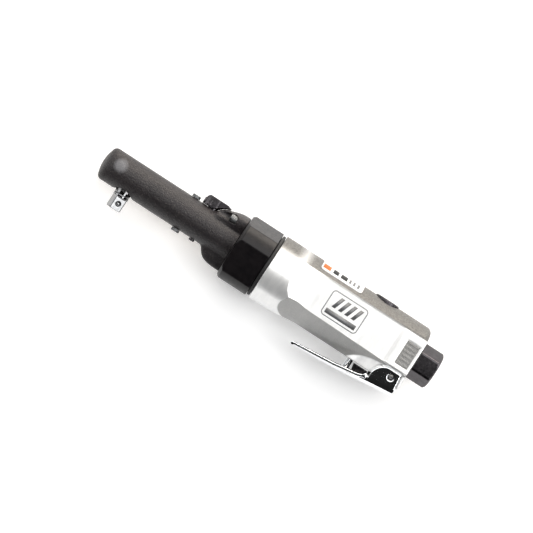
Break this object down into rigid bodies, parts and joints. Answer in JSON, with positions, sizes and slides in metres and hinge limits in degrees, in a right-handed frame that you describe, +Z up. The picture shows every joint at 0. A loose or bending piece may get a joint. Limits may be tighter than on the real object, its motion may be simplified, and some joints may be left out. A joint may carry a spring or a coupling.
{
  "type": "air ratchet",
  "caption": "Slim barrel-head air ratchet wrench with a square drive, thumb reverse lever, throttle lever and hexagonal air inlet.",
  "frame": {"origin": "middle of the square drive's free end face", "axes": "+X runs along the tool axis from the ratchet head to the air inlet, -Y is the way the square drive and the throttle lever point, and +Z is up with the tool lying on its side"},
  "size_m": [0.1903, 0.0433, 0.035],
  "materials": {
    "head_coat": "matte black coat with a fine grit",
    "collar_coat": "smooth satin black coat",
    "casting": "polished flats with grainy as-cast faces",
    "chrome": "bright",
    "steel": "machined",
    "black_steel": "glossy black",
    "bronze": "sintered bronze",
    "brass": "turned",
    "rubber": "matte",
    "vane_plastic": "laminated resin",
    "label": "printed film without any words"
  },
  "bodies": {
    "casing": {"ratchet_housing": "head_coat", "anvil_top_bushing": "bronze", "anvil_bushing": "bronze", "anvil_retaining_ring": "black_steel", "bearing_carrier": "steel", "needle_bearing": "steel", "crank_rear_bearing": "steel", "set_screw_top": "steel", "set_screw_bottom": "steel", "grease_screw": "black_steel", "case_screw_top": "chrome", "case_screw_bottom": "chrome", "gear_case": "collar_coat", "ring_gear": "steel", "front_seal_ring": "rubber", "front_end_plate": "steel", "motor_liner": "steel", "rear_end_plate": "steel", "rotor_front_bearing": "steel", "rotor_rear_bearing": "steel", "motor_housing": "casting", "blank_label": "label", "valve_bushing": "brass", "valve_spring": "steel", "lever_pin": "steel", "inlet_bushing": "black_steel", "inlet_screen": "steel"},
    "anvil": {"anvil": "chrome", "socket_ball_spring": "steel"},
    "socket_ball": {"socket_ball": "chrome"},
    "yoke": {"ratchet_yoke": "steel", "pawl_pin": "steel"},
    "pawl": {"direction_pawl": "steel"},
    "crank": {"crankshaft": "steel", "planet_pin_1": "steel", "planet_pin_2": "steel", "planet_pin_3": "steel"},
    "drive_bushing": {"drive_bushing": "bronze"},
    "planet_1": {"planet_gear_1": "steel"},
    "planet_2": {"planet_gear_2": "steel"},
    "planet_3": {"planet_gear_3": "steel"},
    "rotor": {"rotor": "steel", "vane_1": "vane_plastic", "vane_2": "vane_plastic", "vane_3": "vane_plastic", "vane_4": "vane_plastic", "vane_5": "vane_plastic"},
    "reverse_lever": {"reverse_lever": "black_steel"},
    "reverse_rod": {"reverse_rod": "steel"},
    "throttle_lever": {"throttle_lever": "chrome", "lever_rib": "black_steel"},
    "valve_stem": {"valve_stem": "chrome"},
    "regulator": {"regulator_dial": "black_steel", "regulator_o_ring": "rubber"}
  },
  "joints": [
    {"name": "lever_press", "type": "hinge", "parent": "casing", "child": "throttle_lever", "pos_m": [0.1566, 0.00485, 0], "axis": [0, 0, -1], "range_deg": [0, 7], "stiffness_Nm_per_rad": 0.5, "springref_deg": -5.73},
    {"name": "valve_slide", "type": "slide", "parent": "casing", "child": "valve_stem", "axis": [0, 1, 0], "range_m": [0, 0.0026], "deforming": ["valve_spring"]},
    {"name": "reverse_turn", "type": "hinge", "parent": "casing", "child": "reverse_lever", "pos_m": [0.0407, 0.0285, 0], "axis": [0, 1, 0], "range_deg": [-45, 45]},
    {"name": "reverse_rod_slide", "type": "slide", "parent": "casing", "child": "reverse_rod", "axis": [1, 0, 0], "range_m": [-0.00146, 0.00146]},
    {"name": "yoke_swing", "type": "hinge", "parent": "casing", "child": "yoke", "pos_m": [0, 0.01745, 0], "axis": [0, 1, 0], "range_deg": [-4.5, 4.5]},
    {"name": "pawl_tilt", "type": "hinge", "parent": "yoke", "child": "pawl", "pos_m": [0.0065, 0.01745, 0], "axis": [0, 1, 0], "range_deg": [-6.6, 6.6]},
    {"name": "anvil_spin", "type": "hinge", "parent": "casing", "child": "anvil", "pos_m": [0, 0.01745, 0], "axis": [0, 1, 0], "continuous": true},
    {"name": "socket_ball_press", "type": "slide", "parent": "anvil", "child": "socket_ball", "axis": [-0.3827, 0, -0.9239], "range_m": [0, 0.0005], "stiffness_N_per_m": 200, "springref_m": -0.0005, "deforming": ["socket_ball_spring"]},
    {"name": "rotor_spin", "type": "hinge", "parent": "casing", "child": "rotor", "pos_m": [0.095, 0.01745, 0], "axis": [1, 0, 0], "continuous": true},
    {"name": "crank_spin", "type": "hinge", "parent": "casing", "child": "crank", "pos_m": [0.04, 0.01745, 0], "axis": [1, 0, 0], "continuous": true},
    {"name": "planet_1_spin", "type": "hinge", "parent": "crank", "child": "planet_1", "pos_m": [0.069, 0.02488, 0], "axis": [1, 0, 0], "continuous": true},
    {"name": "planet_2_spin", "type": "hinge", "parent": "crank", "child": "planet_2", "pos_m": [0.069, 0.01374, 0.00643], "axis": [1, 0, 0], "continuous": true},
    {"name": "planet_3_spin", "type": "hinge", "parent": "crank", "child": "planet_3", "pos_m": [0.069, 0.01374, -0.00643], "axis": [1, 0, 0], "continuous": true},
    {"name": "drive_bushing_spin", "type": "hinge", "parent": "crank", "child": "drive_bushing", "pos_m": [0.0105, 0.0183, 0], "axis": [1, 0, 0], "continuous": true},
    {"name": "regulator_turn", "type": "hinge", "parent": "casing", "child": "regulator", "pos_m": [0.1362, 0.03, 0], "axis": [0, 1, 0], "range_deg": [0, 90]}
  ],
  "couplings": [
    {"joint": "valve_slide", "follows": "lever_press", "m_per_rad": 0.0204},
    {"joint": "reverse_turn", "follows": "reverse_rod_slide", "rad_per_m": 537.63},
    {"joint": "pawl_tilt", "follows": "reverse_rod_slide", "rad_per_m": 77.419},
    {"joint": "crank_spin", "follows": "rotor_spin", "ratio": 0.22222},
    {"joint": "planet_1_spin", "follows": "rotor_spin", "ratio": -0.62222},
    {"joint": "planet_2_spin", "follows": "rotor_spin", "ratio": -0.62222},
    {"joint": "planet_3_spin", "follows": "rotor_spin", "ratio": -0.62222}
  ]
}
